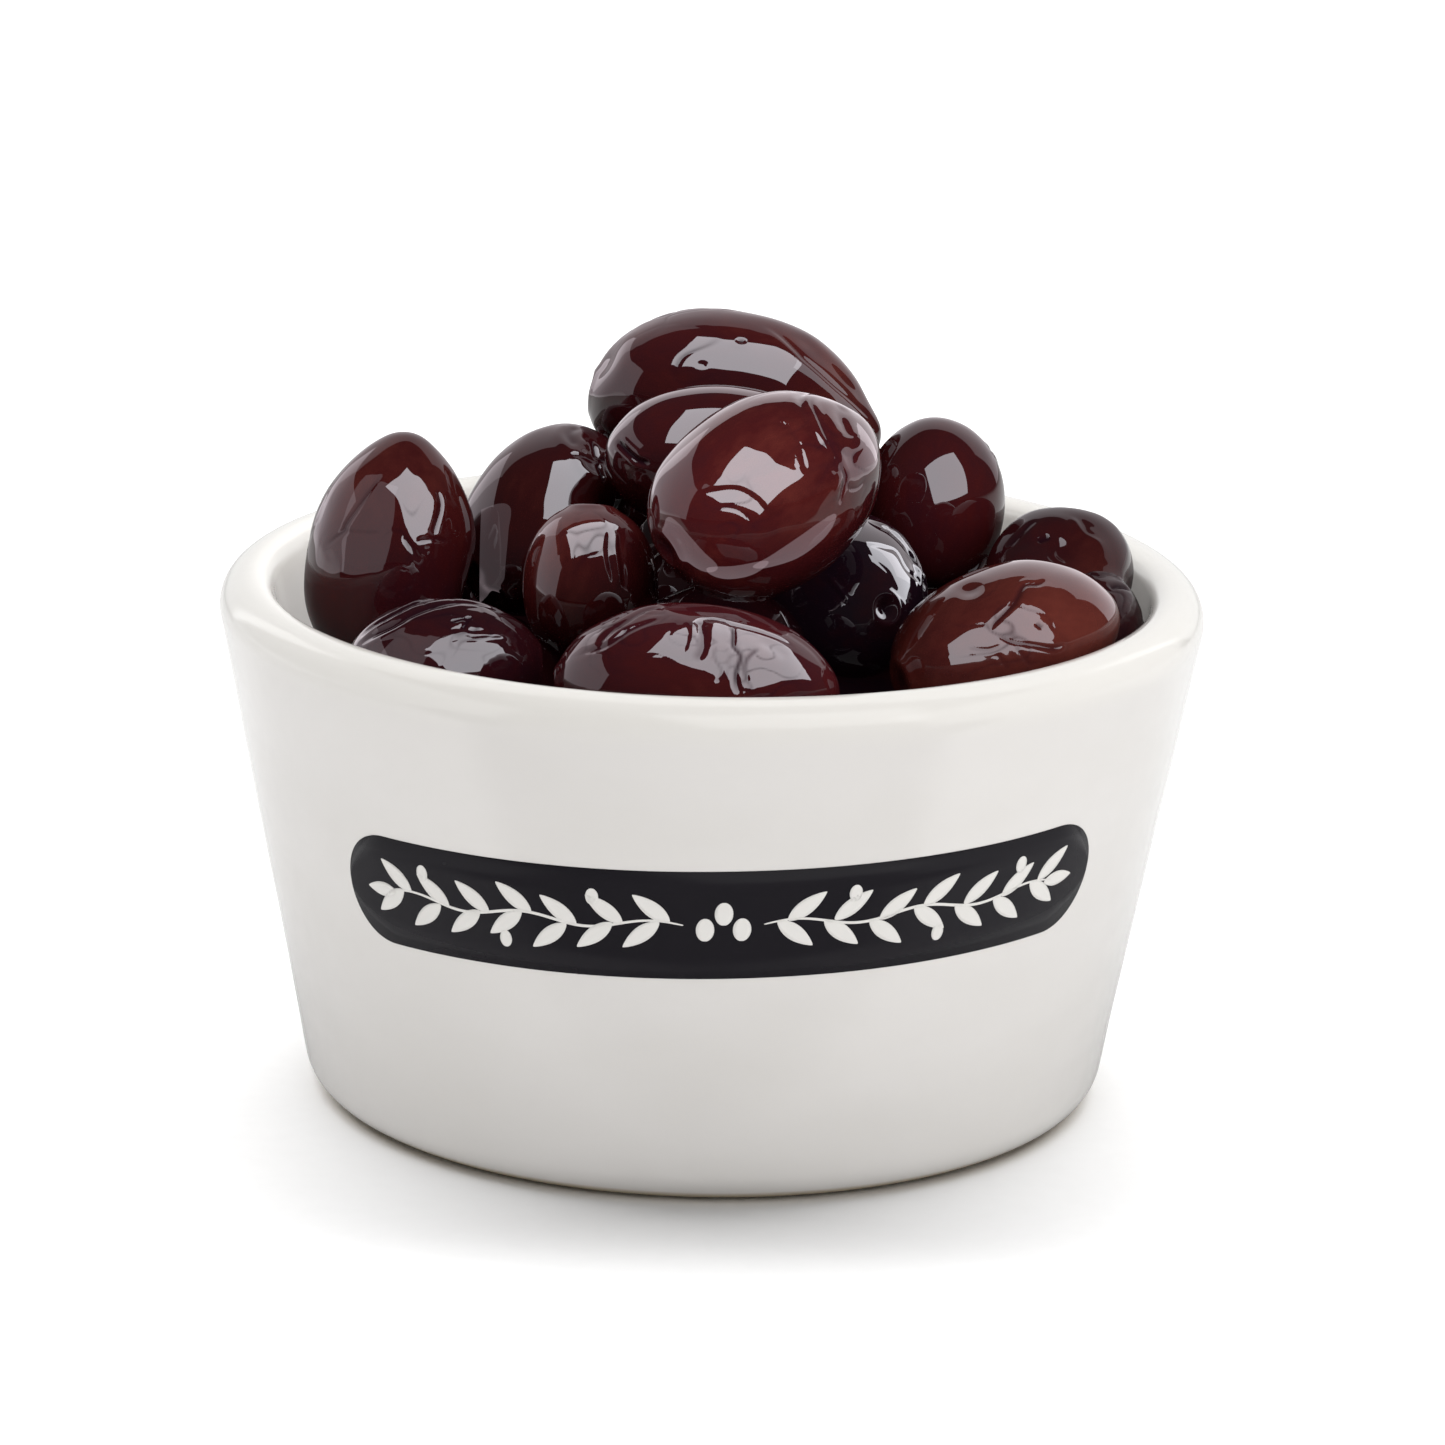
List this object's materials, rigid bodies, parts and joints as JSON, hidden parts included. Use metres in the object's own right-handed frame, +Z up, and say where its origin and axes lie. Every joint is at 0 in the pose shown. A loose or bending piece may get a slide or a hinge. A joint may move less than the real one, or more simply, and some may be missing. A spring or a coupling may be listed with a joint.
{
  "type": "dish of olives",
  "caption": "Round glazed ceramic dish with a leaning wall and a thick round rim, heaped above the rim with whole, glossy, dark olives.",
  "frame": {"origin": "middle of the dish's foot, on the surface that it stands on", "axes": "+Z up, -Y towards the front of the dish, where its print is, +X to the right seen from the front"},
  "size_m": [0.1066, 0.1066, 0.0816],
  "materials": {
    "glaze": "gloss",
    "olive_skin": "gloss"
  },
  "bodies": {
    "root": {"dish": "glaze", "olives": "olive_skin"}
  },
  "joints": []
}
